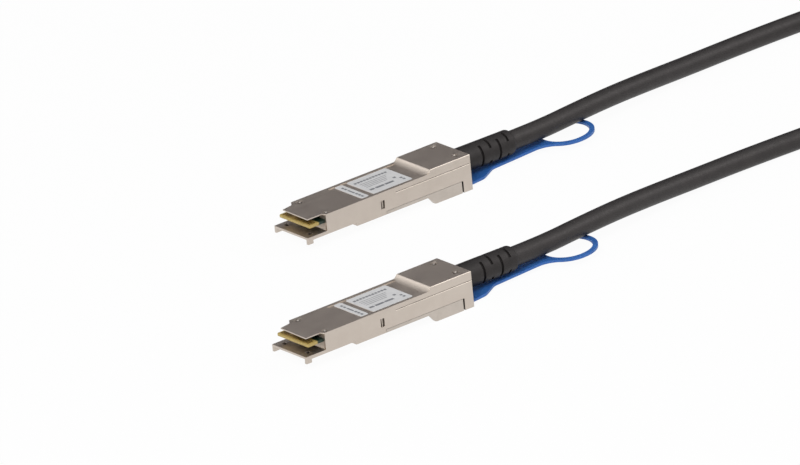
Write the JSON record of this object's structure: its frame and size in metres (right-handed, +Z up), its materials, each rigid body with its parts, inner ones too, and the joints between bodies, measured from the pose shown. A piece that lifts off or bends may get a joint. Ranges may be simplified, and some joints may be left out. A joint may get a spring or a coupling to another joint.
{
  "type": "direct attach copper cable",
  "caption": "Short passive copper network cable with a flat die-cast plug, sliding latch and looped pull tab at each end.",
  "frame": {"origin": "middle of the two plugs' bounding box in plan, at the level they lie on", "axes": "+X from the plugs' contact ends towards the cable, +Y from the lower-left plug to the upper one in plan, +Z up, square to the plugs' flat top faces"},
  "size_m": [0.356, 0.1082, 0.013],
  "materials": {
    "cast_shell": "satin nickel plate on a zinc die casting",
    "latch_steel": "satin plated",
    "rivet_steel": "turned, satin",
    "spring_steel": "bright strip",
    "label_film": "matt film",
    "board_laminate": "green solder mask over glass laminate",
    "gold_contact": "gold plated",
    "chip_case": "moulded",
    "capacitor_ceramic": "fired ceramic",
    "pair_foil": "foil wrapped twin wire",
    "comb_plastic": "moulded",
    "ferrule_copper": "crimped",
    "boot_rubber": "matt moulded",
    "tab_rubber": "soft satin moulding, blue",
    "cable_jacket": "satin extruded jacket"
  },
  "bodies": {
    "cable_assembly": {"bottom_shell_a": "cast_shell", "top_cover_a": "cast_shell", "cover_rivets_a": "rivet_steel", "small_label_a": "label_film", "large_label_a": "label_film", "paddle_card_a": "board_laminate", "contact_pads_a": "gold_contact", "memory_chip_a": "chip_case", "capacitors_a": "capacitor_ceramic", "wire_pairs_a": "pair_foil", "wire_comb_a": "comb_plastic", "crimp_ferrule_a": "ferrule_copper", "strain_relief_boot_a": "boot_rubber", "return_springs_a": "spring_steel", "bottom_shell_b": "cast_shell", "top_cover_b": "cast_shell", "cover_rivets_b": "rivet_steel", "small_label_b": "label_film", "large_label_b": "label_film", "paddle_card_b": "board_laminate", "contact_pads_b": "gold_contact", "memory_chip_b": "chip_case", "capacitors_b": "capacitor_ceramic", "wire_pairs_b": "pair_foil", "wire_comb_b": "comb_plastic", "crimp_ferrule_b": "ferrule_copper", "strain_relief_boot_b": "boot_rubber", "return_springs_b": "spring_steel", "cable": "cable_jacket"},
    "latch_a": {"latch_slider_a": "latch_steel", "pull_tab_a": "tab_rubber"},
    "latch_b": {"latch_slider_b": "latch_steel", "pull_tab_b": "tab_rubber"}
  },
  "joints": [
    {"name": "latch_slide_a", "type": "slide", "parent": "cable_assembly", "child": "latch_a", "axis": [1, 0, 0], "range_m": [0, 0.0006], "stiffness_N_per_m": 400, "springref_m": -0.002, "deforming": ["return_springs_a"]},
    {"name": "latch_slide_b", "type": "slide", "parent": "cable_assembly", "child": "latch_b", "axis": [1, 0, 0], "range_m": [0, 0.0006], "stiffness_N_per_m": 400, "springref_m": -0.002, "deforming": ["return_springs_b"]}
  ]
}
